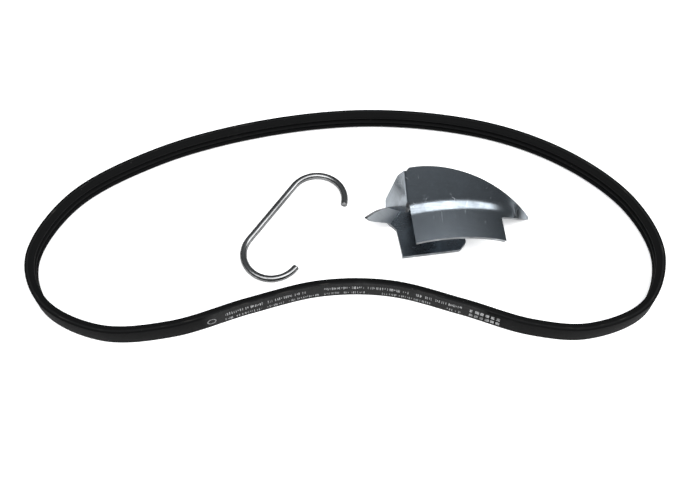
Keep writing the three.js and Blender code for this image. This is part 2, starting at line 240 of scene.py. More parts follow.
@dataclass
class Bench:
    """A material's node tree while it is put together."""

    tree: bpy.types.NodeTree

    def add(self, kind: str, sockets: dict[Any, Any] | None = None, **settings: Any) -> bpy.types.Node:
        """Adds a node.

        Args:
            kind: the node's type, without its ShaderNode prefix.
            sockets: a value, or another node's output, for each input by name or number.
            settings: the node's own properties.

        Returns:
            The new node.
        """
        node = self.tree.nodes.new("ShaderNode" + kind)
        for key, value in settings.items():
            setattr(node, key, value)
        for key, value in (sockets or {}).items():
            if isinstance(value, bpy.types.NodeSocket):
                self.tree.links.new(value, node.inputs[key])
            else:
                node.inputs[key].default_value = value
        return node

    def place(self, stretch: Sequence[float] = (1, 1, 1), turn: float = 0.0, uv: bool = False) -> Any:
        """Coordinates on the piece, or its UV map, scaled and turned about Z.

        Args:
            stretch: the scale on each axis.
            turn: degrees about Z.
            uv: read the UV map instead of the place in the frame.

        Returns:
            The vector output.
        """
        source = self.add("TexCoord").outputs["UV" if uv else "Object"]
        sockets = {"Vector": source, "Scale": stretch, "Rotation": (0, 0, np.radians(turn))}
        return self.add("Mapping", sockets).outputs["Vector"]

    def noise(self, vector: Any, scale: float, detail: float = 4.0, rough: float = 0.55) -> Any:
        """Fractal noise from 0 to 1 at a scale per metre."""
        sockets = {"Vector": vector, "Scale": scale, "Detail": detail, "Roughness": rough}
        return self.add("TexNoise", sockets).outputs["Fac"]

    def ramp(self, value: Any, low: float, high: float, to_low: float = 0.0, to_high: float = 1.0) -> Any:
        """Takes a value from one range to another and holds it there."""
        sockets = {"Value": value, "From Min": low, "From Max": high, "To Min": to_low, "To Max": to_high}
        return self.add("MapRange", sockets).outputs["Result"]

    def maths(self, operation: str, a: Any, b: Any) -> Any:
        """Adds, multiplies or compares two values."""
        return self.add("Math", {0: a, 1: b}, operation=operation).outputs["Value"]

    def times(self, a: Any, b: Any) -> Any:
        """One value times another."""
        return self.maths("MULTIPLY", a, b)

    def blend(self, share: Any, a: Any, b: Any) -> Any:
        """A colour between two colours."""
        return self.add("Mix", {0: share, 6: a, 7: b}, data_type="RGBA").outputs[2]

    def bump(self, height: Any, distance: float, strength: float, under: Any = None) -> Any:
        """A normal from a height.

        Args:
            height: the height, from 0 to 1.
            distance: how high 1 is, in metres.
            strength: how much of it shows.
            under: another normal that this one goes on top of.

        Returns:
            The normal output.
        """
        sockets = {"Height": height, "Distance": distance, "Strength": strength}
        if under is not None:
            sockets["Normal"] = under
        return self.add("Bump", sockets).outputs["Normal"]


def new_material(name: str) -> tuple[bpy.types.Material, Bench, bpy.types.Node]:
    """A material with its node bench and its Principled shader.

    Args:
        name: the material's name.

    Returns:
        The material, the bench and the shader node.
    """
    material = bpy.data.materials.new(name)
    material.use_nodes = True
    shader = material.node_tree.nodes["Principled BSDF"]
    return material, Bench(material.node_tree), shader


def grey(value: float, warm: float = 0.0) -> tuple[float, float, float, float]:
    """A grey, a little warmer or cooler than neutral."""
    return (value * (1 + warm), value, value * (1 - warm), 1.0)


@dataclass(frozen=True)
class RubberFinish:
    """Ground black rubber.

    Attributes:
        name: the material's name.
        dark: the rubber's own grey.
        dusty: the grey of dust and chafed places.
        dust: how much of the face is dusty, from 0 to 1.
        roughness: of the cleanest rubber.
        grind: how deep the grinding lines across the belt are, in millimetres.
        cords: whether cut tension cords show.
        haze: how pale the marked part of the back is, from 0 to 1.
    """

    name: str
    dark: float = 0.010
    dusty: float = 0.035
    dust: float = 0.35
    roughness: float = 0.62
    grind: float = 0.02
    cords: bool = False
    haze: float = 0.0

    def make(self) -> bpy.types.Material:
        """Fine grain and grinding lines over soft dusty patches.

        Returns:
            The material.
        """
        material, bench, shader = new_material(self.name)
        spot = bench.place()
        along = bench.place(stretch=(1, 0.12, 1), uv=True)
        patches = bench.noise(spot, 70, 5, 0.6)
        grain = bench.noise(spot, 2600, 3, 0.6)
        lines = bench.noise(along, 1500, 2, 0.5)
        cover = bench.ramp(patches, 0.72 - 0.4 * self.dust, 0.86 - 0.2 * self.dust)
        dusting = bench.times(cover, bench.ramp(grain, 0.35, 0.75, 0.15, 1.0))
        colour = bench.blend(dusting, grey(self.dark, -0.03), grey(self.dusty, -0.02))
        if self.cords:
            strands = bench.noise(bench.place(stretch=(0.10, 1, 1), uv=True), 900, 2, 0.5)
            colour = bench.blend(bench.ramp(strands, 0.58, 0.66, 0.0, 0.5), colour, grey(0.05, 0.08))
        if self.haze:
            marked_half, dip_side = (0.063, 0.069), (-0.036, -0.034)
            axes = bench.add("SeparateXYZ", {0: spot}).outputs
            along_run = bench.ramp(bench.maths("ABSOLUTE", axes["X"], 0.0), *marked_half, self.haze, 0.0)
            stain = bench.times(along_run, bench.ramp(axes["Y"], *dip_side, 1.0, 0.0))
            stain = bench.times(stain, bench.ramp(grain, 0.3, 0.7, 0.3, 1.0))
            colour = bench.blend(stain, colour, grey(0.06))
        specks = bench.noise(spot, 900, 1, 0.5)
        colour = bench.blend(bench.ramp(specks, 0.78, 0.82, 0.0, 0.5), colour, grey(0.09, 0.03))
        bench.tree.links.new(colour, shader.inputs["Base Color"])
        worn = bench.maths("ADD", dusting, grain)
        gloss = bench.ramp(worn, 0.3, 1.5, self.roughness, self.roughness + 0.22)
        bench.tree.links.new(gloss, shader.inputs["Roughness"])
        shader.inputs["Specular IOR Level"].default_value = 0.03
        fine = bench.bump(grain, 0.03 * MM, 0.5)
        normal = bench.bump(lines, self.grind * MM, 0.6, fine)
        bench.tree.links.new(normal, shader.inputs["Normal"])
        return material


@dataclass(frozen=True)
class InkFinish:
    """Pale marking ink, rubbed thin in places.

    Attributes:
        name: the material's name.
        fresh: grey of the ink where it is whole.
        worn: grey where rubber shows through.
    """

    name: str
    fresh: float = 0.36
    worn: float = 0.03

    def make(self) -> bpy.types.Material:
        """Ink whose cover follows patchy wear and the rubber's grain.

        Returns:
            The material.
        """
        material, bench, shader = new_material(self.name)
        spot = bench.place()
        wear = bench.maths("ADD", bench.noise(spot, 190, 4, 0.7), bench.noise(spot, 1900, 2, 0.5))
        cover = bench.ramp(wear, 0.80, 1.12)
        colour = bench.blend(cover, grey(self.worn), grey(self.fresh, -0.01))
        bench.tree.links.new(colour, shader.inputs["Base Color"])
        bench.tree.links.new(bench.ramp(cover, 0, 1, 0.75, 0.55), shader.inputs["Roughness"])
        bench.tree.links.new(bench.bump(cover, 0.01 * MM, 0.4), shader.inputs["Normal"])
        return material


@dataclass(frozen=True)
class ZincFinish:
    """Bright zinc plating on steel.

    Attributes:
        name: the material's name.
        dull: the darker plating.
        bright: the lighter plating.
        roughness: of the smoothest plating.
        streak: the scale of the rolling or drawing lines along and across.
        turn: degrees that the lines are turned about Z.
        scratches: how many handling scratches show, from 0 to 1.
        follow: whether the lines follow the piece's UV map.
        cool: how blue the plating is.
        rim: how much of its shine the plating keeps where it turns away, from 0 to 1.
    """

    name: str
    dull: float = 0.36
    bright: float = 0.52
    roughness: float = 0.24
    streak: tuple[float, float] = (60.0, 1800.0)
    turn: float = 0.0
    scratches: float = 0.5
    follow: bool = False
    cool: float = 0.05
    rim: float = 1.0

    def make(self) -> bpy.types.Material:
        """Clouded plating with fine lines, pinholes and scratches in two directions.

        Returns:
            The material.
        """
        material, bench, shader = new_material(self.name)
        spot = bench.place()
        clouds = bench.noise(spot, 85, 6, 0.62)
        along, across = self.streak
        lines = bench.noise(bench.place((along, across, along), self.turn, self.follow), 1, 3)
        tone = bench.maths("ADD", bench.times(clouds, 0.75), bench.times(lines, 0.25))
        dull, bright = grey(self.dull, -self.cool), grey(self.bright, -self.cool)
        colour = bench.blend(bench.ramp(tone, 0.34, 0.66), dull, bright)
        scratch = self.scratch(bench)
        colour = bench.blend(bench.times(scratch, 0.6), colour, grey(0.78, -self.cool / 2))
        pits = bench.ramp(bench.noise(spot, 1500, 1, 0.4), 0.80, 0.85)
        colour = bench.blend(bench.times(pits, 0.7), colour, grey(0.2))
        bench.tree.links.new(colour, shader.inputs["Base Color"])
        shader.inputs["Metallic"].default_value = 1.0
        shader.inputs["Specular Tint"].default_value = grey(self.rim)
        gloss = bench.ramp(tone, 0.3, 0.7, self.roughness + 0.12, self.roughness)
        gloss = bench.maths("ADD", gloss, bench.times(scratch, 0.15))
        bench.tree.links.new(gloss, shader.inputs["Roughness"])
        soft = bench.bump(clouds, 0.05 * MM, 0.35)
        lined = bench.bump(lines, 0.012 * MM, 0.35, soft)
        marked = bench.bump(bench.maths("ADD", scratch, pits), 0.02 * MM, 0.5, lined)
        bench.tree.links.new(marked, shader.inputs["Normal"])
        return material

    def scratch(self, bench: Bench) -> Any:
        """Thin broken lines in two directions, where a stretched noise passes its middle value.

        Args:
            bench: the material's bench.

        Returns:
            A value from 0 to 1.
        """
        total: Any = 0.0
        for turn, scale in ((37.0, 210.0), (-58.0, 160.0)):
            drawn = bench.noise(bench.place((scale, scale * 0.09, scale), turn), 1, 2, 0.4)
            off = bench.maths("ABSOLUTE", bench.maths("SUBTRACT", drawn, 0.5), 0.0)
            line = bench.ramp(off, 0.0, 0.004 + 0.004 * self.scratches, 1.0, 0.0)
            gaps = bench.noise(bench.place(turn=turn), 120, 3)
            broken = bench.ramp(gaps, 0.66 - 0.1 * self.scratches, 0.70)
            total = bench.maths("ADD", total, bench.times(line, broken))
        return bench.ramp(total, 0, 1)


# ---------------------------------------- belt


@dataclass
class BeltLoop:
    """The belt's middle line on the table.

    Attributes:
        length: round the loop, in millimetres.
        stations: how many evenly spaced places are worked out.
        route: corners of the loop, anticlockwise from the left end.
    """

    length: float = 755.0
    stations: int = 1200
    route: Outline = (
        (-157, -24), (-147, -49), (-118, -63.5), (-84, -61.5), (-47, -49), (-12, -39.5),
        (22, -39.5), (57, -49.5), (90, -60.5), (118, -62.5), (146, -50), (157, -23),
        (148, 7), (122, 34), (80, 55), (18, 64.5), (-45, 57.5), (-102, 38), (-142, 10),
    )
    place: Array = field(init=False)
    along: Array = field(init=False)

    def __post_init__(self) -> None:
        """Spaces the stations evenly along the line and finds the direction at each."""
        dense = self.curve(np.array(self.route, float), 160)
        step = np.linalg.norm(np.roll(dense, -1, axis=0) - dense, axis=1)
        run = np.concatenate([[0.0], np.cumsum(step)])
        closed = np.vstack([dense, dense[:1]])
        wanted = np.linspace(0, run[-1], self.stations, endpoint=False)
        even = np.stack([np.interp(wanted, run, closed[:, k]) for k in (0, 1)], -1) * (self.length / run[-1])
        self.place = even - (even.max(axis=0) + even.min(axis=0)) / 2
        ahead = np.roll(self.place, -1, axis=0) - np.roll(self.place, 1, axis=0)
        self.along = ahead / np.linalg.norm(ahead, axis=1, keepdims=True)

    @staticmethod
    def curve(corners: Array, steps: int) -> Array:
        """The centripetal Catmull-Rom line through a closed run of corners.

        With d0, d1 and d2 the square roots of the three distances between four neighbours, each
        stretch is the cubic whose slopes at its two ends are
        (b-a)/d0 - (c-a)/(d0+d1) + (c-b)/d1 and (c-b)/d1 - (d-b)/(d1+d2) + (d-c)/d2, times d1.

        Args:
            corners: the corners, one row each.
            steps: points on each stretch.

        Returns:
            The points of the line.
        """
        a, b, c, d = (np.roll(corners, shift, axis=0) for shift in (1, 0, -1, -2))
        d0, d1, d2 = (np.sqrt(np.linalg.norm(q - p, axis=1))[:, None] for p, q in ((a, b), (b, c), (c, d)))
        start = ((b - a) / d0 - (c - a) / (d0 + d1) + (c - b) / d1) * d1
        end = ((c - b) / d1 - (d - b) / (d1 + d2) + (d - c) / d2) * d1
        t = np.linspace(0, 1, steps, endpoint=False)[None, :, None]
        b, c, start, end = (v[:, None] for v in (b, c, start, end))
        line = b + start * t + (3 * (c - b) - 2 * start - end) * t**2 + (2 * (b - c) + start + end) * t**3
        return line.reshape(-1, 2)

    def settle(self, offset: Array) -> None:
        """Shifts the loop on the table."""
        self.place = self.place + offset

    def at(self, run: Array, out: Array, height: Array) -> Array:
        """Points beside the middle line, out being positive towards the smooth back.

        Args:
            run: distance along the line, in millimetres.
            out: distance from it.
            height: above the table.

        Returns:
            One row of x, y, z for each.
        """
        spread = np.arange(self.stations + 1) * self.length / self.stations
        closed = [np.append(v, v[0]) for v in (*self.place.T, *self.along.T)]
        x, y, tx, ty = (np.interp(run, spread, v) for v in closed)
        return np.stack([x + ty * out, y - tx * out, height + 0 * x], -1)

    def near_run(self, x: float) -> float:
        """Finds where the dipping run passes a given x.

        Args:
            x: the place, in millimetres.

        Returns:
            The distance along the line.
        """
        spread = np.arange(self.stations) * self.length / self.stations
        half = self.stations // 2
        return float(np.interp(x, self.place[:half, 0], spread[:half]))


@dataclass
class Belt:
    """The ribbed belt: backing, cord layer and ribs, bonded, with marks printed on the back.

    Attributes:
        ribs: how many ribs.
        pitch: from rib to rib.
        tip: flat on a rib's tip.
        valley: flat at a groove's bottom.
        rib_height: from groove to tip.
        rib_base: rubber under the grooves.
        cord: thickness of the cord layer.
        backing: thickness of the backing.
        rag: how uneven the cut edges are.
        rag_reach: how far from a cut edge the unevenness is felt.
        rows: lowest and highest point of each row of tally bars.
        block_rows: the same for the blocks.
        bars_x: where the rows of bars start and end.
        blocks_x: where the blocks start.
        ring_x: the ring's middle.
        ring_z: its height.
        ring_radii: its outer and inner radius.
    """

    ribs: int = 3
    pitch: float = 3.56
    tip: float = 1.5
    valley: float = 0.34
    rib_height: float = 2.363
    rib_base: float = 0.3
    cord: float = 0.9
    backing: float = 0.9
    rag: float = 0.09
    rag_reach: float = 0.8
    rows: Outline = ((1.6, 3.7), (6.3, 8.8))
    block_rows: Outline = ((1.8, 4.3), (5.9, 8.6))
    bars_x: tuple[float, float] = (-60.0, 57.0)
    blocks_x: float = 61.0
    ring_x: float = -65.5
    ring_z: float = 5.2
    ring_radii: tuple[float, float] = (2.3, 1.75)
    loop: BeltLoop = field(default_factory=BeltLoop)

    @property
    def width(self) -> float:
        """Across all the ribs."""
        return self.ribs * self.pitch

    @property
    def back(self) -> float:
        """From the middle line to the smooth back."""
        return (self.backing + self.cord + self.rib_base + self.rib_height) / 2

    def build(self) -> list[bpy.types.Object]:
        """Makes and dresses the belt's pieces.

        Returns:
            The pieces.
        """
        low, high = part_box("belt_backing")
        centre = (np.array(low) + np.array(high))[:2] / 2 / MM
        outer = self.loop.at(self.spread(), np.full(self.loop.stations, self.back), np.zeros(1))[:, :2]
        self.loop.settle(centre - (outer.max(axis=0) + outer.min(axis=0)) / 2)
        cord_top = self.back - self.backing
        pieces = [
            self.layer("belt_back", "belt_backing", cord_top, self.back, (0.03, 0.30, 0.30, 0.03)),
            self.layer("belt_cords", "belt_cord_layer", cord_top - self.cord, cord_top, (0.05,) * 4),
            self.ribbed_layer(),
            self.marks(),
        ]
        finishes = (
            RubberFinish("back_rubber", dark=0.0040, dusty=0.022, dust=0.40, roughness=0.58, haze=0.45),
            RubberFinish("cord_rubber", dark=0.009, dusty=0.03, dust=0.2, roughness=0.7, cords=True),
            RubberFinish("rib_rubber", dark=0.0050, dusty=0.016, dust=0.25, roughness=0.66, grind=0.03),
            InkFinish("marking_ink"),
        )
        slots = ("belt_back_rubber", "belt_cord_rubber", "belt_rib_rubber", None)
        for piece, finish, slot in zip(pieces, finishes, slots):
            piece.data.materials.append(finish.make())
            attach(piece, Body.BELT.value)
        return pieces

    def spread(self) -> Array:
        """The distance along the loop of every station."""
        return np.arange(self.loop.stations) * self.loop.length / self.loop.stations

    def ring(self, name: str, node: str, outline: Array, seed: int) -> bpy.types.Object:
        """Carries a closed section round the loop.

        The point of section corner (o, z) at distance s is the middle line's point at s, moved out
        by o along the normal and up by z. Near both cut edges z is drawn in by a soft noise of s.

        Args:
            name: the piece's name.
            node: the CAD node it stands for.
            outline: rows of out and height, anticlockwise seen along the loop.
            seed: of the unevenness inside the section.

        Returns:
            The ring.
        """
        stations, count = self.loop.stations, len(outline)
        run = np.repeat(self.spread(), count)
        out, height = np.tile(outline[:, 0], stations), np.tile(outline[:, 1], stations)
        coarse, fine, fine_share = 260, 420, 0.35
        upper = smooth_noise(stations, coarse, 5) + fine_share * smooth_noise(stations, fine, seed)
        lower = smooth_noise(stations, coarse, 8) + fine_share * smooth_noise(stations, fine, seed + 1)
        top = np.clip(1 - (self.width - height) / self.rag_reach, 0, 1)
        foot = np.clip(1 - height / self.rag_reach, 0, 1)
        drawn_down = self.rag / 2 * (top * np.repeat(upper, count))
        height = height - drawn_down + self.rag / 4 * foot * np.repeat(lower, count)
        side = np.linalg.norm(np.diff(outline, axis=0, append=outline[:1]), axis=1)
        around = np.tile(np.concatenate([[0.0], np.cumsum(side)[:-1]]), stations)
        piece = make_piece(
            name,
            self.loop.at(run, out, height),
            grid_faces(stations, count, wrap_rows=True, wrap_columns=True)[:, ::-1],
            np.stack([run, around], -1) * MM,
            self.loop.length * MM,
        )
        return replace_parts(piece, node)

    def layer(
        self, name: str, node: str, inner: float, outer: float, radii: Sequence[float]
    ) -> bpy.types.Object:
        """A layer over the belt's full width.

        Args:
            name: the piece's name.
            node: the CAD node it stands for.
            inner: its inner face's distance from the middle line.
            outer: its outer face's.
            radii: of the section's four corners, from the inner lower one.

        Returns:
            The layer.
        """
        corners = np.array([[inner, 0], [outer, 0], [outer, self.width], [inner, self.width]])
        return self.ring(name, node, rounded(corners, np.array(radii), 4), 21)

    def ribbed_layer(self) -> bpy.types.Object:
        """The ribs with worn round tips and round groove bottoms.

        Returns:
            The layer.
        """
        root = self.back - self.backing - self.cord
        inside = root - self.rib_base
        flank = (self.pitch - self.tip - self.valley) / 2
        middle = (np.arange(self.ribs)[::-1, None] + 0.5) * self.pitch
        steps = np.array([self.tip / 2 + flank, self.tip / 2, -self.tip / 2, -self.tip / 2 - flank])
        heights = (middle + steps).ravel()
        outs = np.tile([inside, inside - self.rib_height, inside - self.rib_height, inside], self.ribs)
        ends = np.array([[inside, 0.0], [root, 0.0], [root, self.width], [inside, self.width]])
        corners = np.vstack([ends, np.stack([outs, heights], -1)])
        radii = np.concatenate([[0.06] * 4, np.tile([0.15, 0.30, 0.30, 0.15], self.ribs)])
        return self.ring("belt_rib_body", "belt_ribs", rounded(corners, radii, 4), 33)

    def marks(self) -> bpy.types.Object:
        """Generic marks in pale ink on the back of the dipping run: tally bars, blocks and one ring.

        Each mark is a rectangle in distance along the belt and height, laid on the back face.

        Returns:
            The marks.
        """
        draw = np.random.default_rng(12)
        start, end = (self.loop.near_run(x) for x in self.bars_x)
        count, blocks_count, block_pitch = 260, 6, 2.7
        bars = []
        for low, high in self.rows:
            gap = draw.uniform(0.55, 1.25, count)
            left = start + np.cumsum(gap)
            group = np.floor(np.cumsum(draw.random(count) < 0.16))
            shown = (left < end) & (draw.random(count) > 0.10) & (np.mod(group, 7) != 3)
            tall = draw.random(count) < 0.6
            bars.append(np.stack([
                left, left + draw.uniform(0.28, 0.62, count),
                low + np.where(tall, 0.0, draw.uniform(0.2, 1.2, count)),
                high - np.where(tall, 0.0, draw.uniform(0.0, 0.6, count)),
            ], -1)[shown])
        blocks = self.loop.near_run(self.blocks_x) + np.arange(blocks_count) * block_pitch
        for low, high in self.block_rows:
            right = blocks + draw.uniform(1.3, 2.1, blocks_count)
            bars.append(np.stack([blocks, right, 0 * blocks + low, 0 * blocks + high], -1))
        mark = np.vstack(bars)
        run, height = mark[:, [0, 1, 1, 0]].ravel(), mark[:, [2, 2, 3, 3]].ravel()
        quads = np.arange(len(run)).reshape(-1, 4)
        turn = np.linspace(0, 2 * np.pi, 40, endpoint=False)
        ring_run = [self.loop.near_run(self.ring_x) + r * np.cos(turn) for r in self.ring_radii]
        ring_height = [self.ring_z + r * np.sin(turn) for r in self.ring_radii]
        band = grid_faces(2, len(turn), wrap_columns=True)[:, ::-1] + len(run)
        run, height = np.concatenate([run, *ring_run]), np.concatenate([height, *ring_height])
        above_rubber, film_thickness = 0.022, 0.012
        points = self.loop.at(run, np.full(len(run), self.back + above_rubber), height)
        piece = make_piece("belt_marks", points, [*quads.tolist(), *band.tolist()])
        film = piece.modifiers.new("film", "SOLIDIFY")
        film.thickness = film_thickness * MM
        film.offset = -1
        return piece


# ---------------------------------------- hook


@dataclass
class Hook:
    """The wire hook: a straight shank and two bends that turn the same way.

    Attributes:
        wire: the wire's diameter.
        shank: the straight length.
        bend: the radius of both bends.
        near: degrees turned by the bend nearer the belt's dip.
        far: degrees turned by the other.
        lean: degrees from X to the shank.
        chamfer: length of the broken edge at each cropped end.
        crop: how far the radius is drawn in there.
        rows: rings of points along the wire.
        sides: points round the wire.
    """

    wire: float = 3.4
    shank: float = 39.5
    bend: float = 14.6
    near: float = 182.0
    far: float = 161.0
    lean: float = 56.0
    chamfer: float = 0.28
    crop: float = 0.30
    rows: int = 420
    sides: int = 40

    def build(self) -> list[bpy.types.Object]:
        """Makes and dresses the hook.

        A circle is carried along the wire's middle line. Over the last part at each end its radius
        is drawn in, which gives the cropped end a broken edge.

        Returns:
            The one piece.
        """
        near, far = self.bend * np.radians(self.near), self.bend * np.radians(self.far)
        total = near + self.shank + far
        inner = np.linspace(0, 1, self.rows)
        lead = np.array([0.0, 0.0, 0.10, self.chamfer])
        between = self.chamfer + inner[1:-1] * (total - 2 * self.chamfer)
        run = np.concatenate([lead[1:], between, total - lead[::-1][:-1]])
        off = np.minimum(run, total - run)
        radius = self.wire / 2 - self.crop * (1 - np.clip(off / self.chamfer, 0, 1)) ** 2
        centre, ahead = self.middle(run - near - self.shank / 2)
        side = np.stack([-ahead[:, 1], ahead[:, 0], 0 * run], -1)
        turn = np.linspace(0, 2 * np.pi, self.sides, endpoint=False)
        across, upwards = np.cos(turn)[None, :, None], np.sin(turn)[None, :, None]
        ring = radius[:, None, None] * (across * side[:, None] + upwards * np.array([0, 0, 1.0]))
        points = (centre[:, None] + ring).reshape(-1, 3)
        around = turn * self.wire / 2
        uv = np.stack(np.broadcast_arrays(run[:, None], around[None, :]), -1).reshape(-1, 2) * MM
        faces = grid_faces(len(run), self.sides, wrap_columns=True).tolist()
        last = (len(run) - 1) * self.sides
        faces += [list(range(self.sides)), [last + k for k in range(self.sides - 1, -1, -1)]]
        piece = make_piece("wire_hook_bar", self.settle(points), faces, uv)
        piece.data.set_sharp_from_angle(angle=np.radians(35))
        finish = ZincFinish(
            "hook_zinc", dull=0.11, bright=0.25, roughness=0.16, streak=(50.0, 2600.0),
            scratches=0.3, follow=True, cool=0.01, rim=0.15,
        )
        piece.data.materials.append(finish.make())
        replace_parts(piece, "wire_hook")
        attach(piece, Body.HOOK.value)
        return [piece]

    def middle(self, run: Array) -> tuple[Array, Array]:
        """The wire's middle line and its direction, flat and turned to the hook's lean.

        Args:
            run: distance from the middle of the shank.

        Returns:
            The points and the directions, one row each.
        """
        beyond = np.clip(np.abs(run) - self.shank / 2, 0, None)
        turn, side = beyond / self.bend, np.sign(run)
        straight = np.clip(run, -self.shank / 2, self.shank / 2)
        x, y = self.bend * (1 - np.cos(turn)), straight + side * self.bend * np.sin(turn)
        dx, dy = side * np.sin(turn), np.cos(turn)
        lean = np.radians(self.lean - 90)
        c, s = np.cos(lean), np.sin(lean)
        flat = np.stack([c * x - s * y, s * x + c * y, 0 * x], -1)
        return flat, np.stack([c * dx - s * dy, s * dx + c * dy, 0 * x], -1)

    @staticmethod
    def settle(points: Array) -> Array:
        """Moves the points so that the middle of their box is that of the CAD node.

        Args:
            points: one row of x, y, z for each.

        Returns:
            The moved points.
        """
        low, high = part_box("wire_hook")
        centre = (np.array(low) + np.array(high)) / 2 / MM
        return points + centre - (points.max(axis=0) + points.min(axis=0)) / 2


# ---------------------------------------- shoe


@dataclass
class Shoe:
    """The fitting shoe: a pressed guide on a folded base, both of plated sheet.

    Its own axes are x from the left edge of the base plate, y from the front edge and z from the
    table. Attributes are in millimetres and degrees.

    Attributes:
        sheet: the thickness of both sheets.
        turn: about Z, from the loop's long way.
        base_width: of the base plate, along x.
        base_depth: of the base plate with the rear web.
        chamfer: off the plate's front right corner.
        plate_radii: of the plate's corners, from the front left one.
        ear_start: from the front edge to the ear's fold.
        ear_outset: from the plate's left edge out to the fold.
        ear_lead: how far in front of the fold the plate starts to widen.
        ear_relief: how far right of the fold's end the plate's rear edge starts.
        ear_fold: length of the fold.
        ear_lean: from x to the fold.
        ear_rise: how steeply the ear stands.
        ear_bend: radius of the fold.
        ear_front: its front edge, as distances along the fold and up the ear.
        ear_back: its back edge, likewise.
        rim_gap: between base plate and saddle.
        arc: radius of the pulley's round that the guide follows.
        inset: from the plate's left edge to the guide's.
        width: of the saddle.
        length: of the saddle, from the bend to its front edge.
        slope: of the saddle.
        overhang: of the saddle's front edge beyond the plate's.
        nose_height: of the nose's tip above the table.
        nose_strip: how far the nose reaches below the bend line where it starts.
        nose_fade: the power of its lower edge's curve.
        nose_tip: height of its blunt tip.
        nose_lift: of the tip's middle from the bend line.
        flare: slope of the flared wall.
        flare_height: of the wall along the sheet, at its left end.
        flare_fade: the power of its free edge's curve.
        flare_corner: off its upper left corner.
        bend: radius between saddle and flare.
        bend_share: the curved part's length against its two tangents.
        guide_ease: how far the guide's grid stops short of its left edge.
        cheek_fold: how far the cheek is folded back.
        cheek_bend: radius of its fold.
        cheek_foot: height of its lowest corner above the table.
        cheek_back: how far back that corner is.
        cheek_toe: distance from the fold over which its lower edge falls.
        cheek_shoulder: distance out to its shoulder, and how far that is below the flare's top.
        cheek_tip: how far its last upper corner is below the flare's start and short of its outer edge.
        cheek_end: length of its outer edge.
        bracket_width: of the rear web and the tongue.
        bracket_bend: radius of their bends, at the middle of the sheet.
        setback: from the front edge to the tongue's end.
        weld_gap: between tongue and saddle.
        edge: how far sheared edges are rounded.
        fold_rows: rows of points across the ear's fold.
    """

    sheet: float = 2.0
    turn: float = 8.0
    base_width: float = 34.0
    base_depth: float = 31.0
    chamfer: float = 4.0
    plate_radii: tuple[float, ...] = (0.7, 1.0, 1.0, 1.0)
    ear_start: float = 19.0
    ear_outset: float = 2.0
    ear_lead: float = 3.0
    ear_relief: float = 0.8
    ear_fold: float = 12.3
    ear_lean: float = 50.5
    ear_rise: float = 60.0
    ear_bend: float = 1.0
    ear_front: Outline = ((0, 0), (-1.4, 2.4), (-5.5, 7.4), (-8.9, 11.9), (-10.4, 15.6))
    ear_back: Outline = ((12.3, 1.7), (8.3, 5.0), (4.3, 7.8), (-2, 12.3), (-9.9, 15.9))
    rim_gap: float = 24.7
    arc: float = 62.7
    inset: float = 5.0
    width: float = 46.0
    length: float = 17.6
    slope: float = 8.0
    overhang: float = 5.8
    nose_height: float = 1.62
    nose_strip: float = 5.0
    nose_fade: float = 0.7
    nose_tip: float = 1.2
    nose_lift: float = 1.8
    flare: float = 41.0
    flare_height: float = 20.4
    flare_fade: float = 1.75
    flare_corner: float = 1.2
    bend: float = 11.0
    bend_share: float = 0.984
    guide_ease: float = 1.2
    cheek_fold: float = 74.0
    cheek_bend: float = 1.5
    cheek_foot: float = 6.7
    cheek_back: float = 27.4
    cheek_toe: float = 2.5
    cheek_shoulder: tuple[float, float] = (7.6, 3.9)
    cheek_tip: float = 0.8
    cheek_end: float = 0.3
    bracket_width: float = 16.0
    bracket_bend: float = 3.0
    setback: float = 4.0
    weld_gap: float = 0.3
    edge: float = 0.28
    fold_rows: int = 6

    def __post_init__(self) -> None:
        """Works out the guide's bent line and the shoe's place on the table."""
        self.crest_x = self.base_width / 2
        self.crest_z = 2 * self.sheet + self.rim_gap
        self.right = self.inset + self.width
        drop = self.crest_z - self.nose_height
        self.nose_x = self.crest_x + np.sqrt(self.arc**2 - (self.arc - drop) ** 2)
        self.bend_y = self.length * np.cos(np.radians(self.slope)) - self.overhang
        low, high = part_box("shoe_base")
        c, s = np.cos(np.radians(self.turn)), np.sin(np.radians(self.turn))
        self.spin = np.array([[c, -s, 0], [s, c, 0], [0, 0, 1.0]])
        across = self.base_width * c - self.chamfer * s
        self.origin = np.array([high[0] / MM - across, low[1] / MM, low[2] / MM])

    def stand(self, points: Array) -> Array:
        """Takes points from the shoe's own axes to the table."""
        return points @ self.spin.T + self.origin

    def arch_drop(self, x: Array) -> Array:
        """How far the pulley's round takes the guide below its crest."""
        return self.arc - np.sqrt(self.arc**2 - (x - self.crest_x) ** 2)

    def guide_face(self, x: Array, up: Array) -> Array:
        """A point of the guide's upper face.

        Seen from the side, the face is the saddle's slope, a parabola that turns it, and the flare's
        slope, read by distance along it from the middle of the bend. The arch then lowers it.

        Args:
            x: along the shoe.
            up: distance along the sheet from the bend line, positive up the flare.

        Returns:
            Points in the shoe's axes, in the shape of x.
        """
        low = np.array([np.cos(np.radians(self.slope)), np.sin(np.radians(self.slope))])
        high = np.array([np.cos(np.radians(self.flare)), np.sin(np.radians(self.flare))])
        tangent = self.bend * np.tan(np.radians(self.flare - self.slope) / 2)
        corner = np.array([self.bend_y, self.crest_z])
        t = np.linspace(0, 1, 60)[:, None]
        curve = pulled(corner - low * tangent, corner, corner + high * tangent, t)
        line = np.vstack([corner - low * 60, curve, corner + high * 60])
        run = np.concatenate([[0.0], np.cumsum(np.linalg.norm(np.diff(line, axis=0), axis=1))])
        run -= (run[1] + run[-2]) / 2
        y, z = (np.interp(up, run, line[:, k]) for k in (0, 1))
        return np.stack([x + 0 * y, y + 0 * x, z - self.arch_drop(x)], -1)

    @property
    def bend_run(self) -> float:
        """Half the length of the bend, along the sheet."""
        return self.bend * np.tan(np.radians(self.flare - self.slope) / 2) * self.bend_share

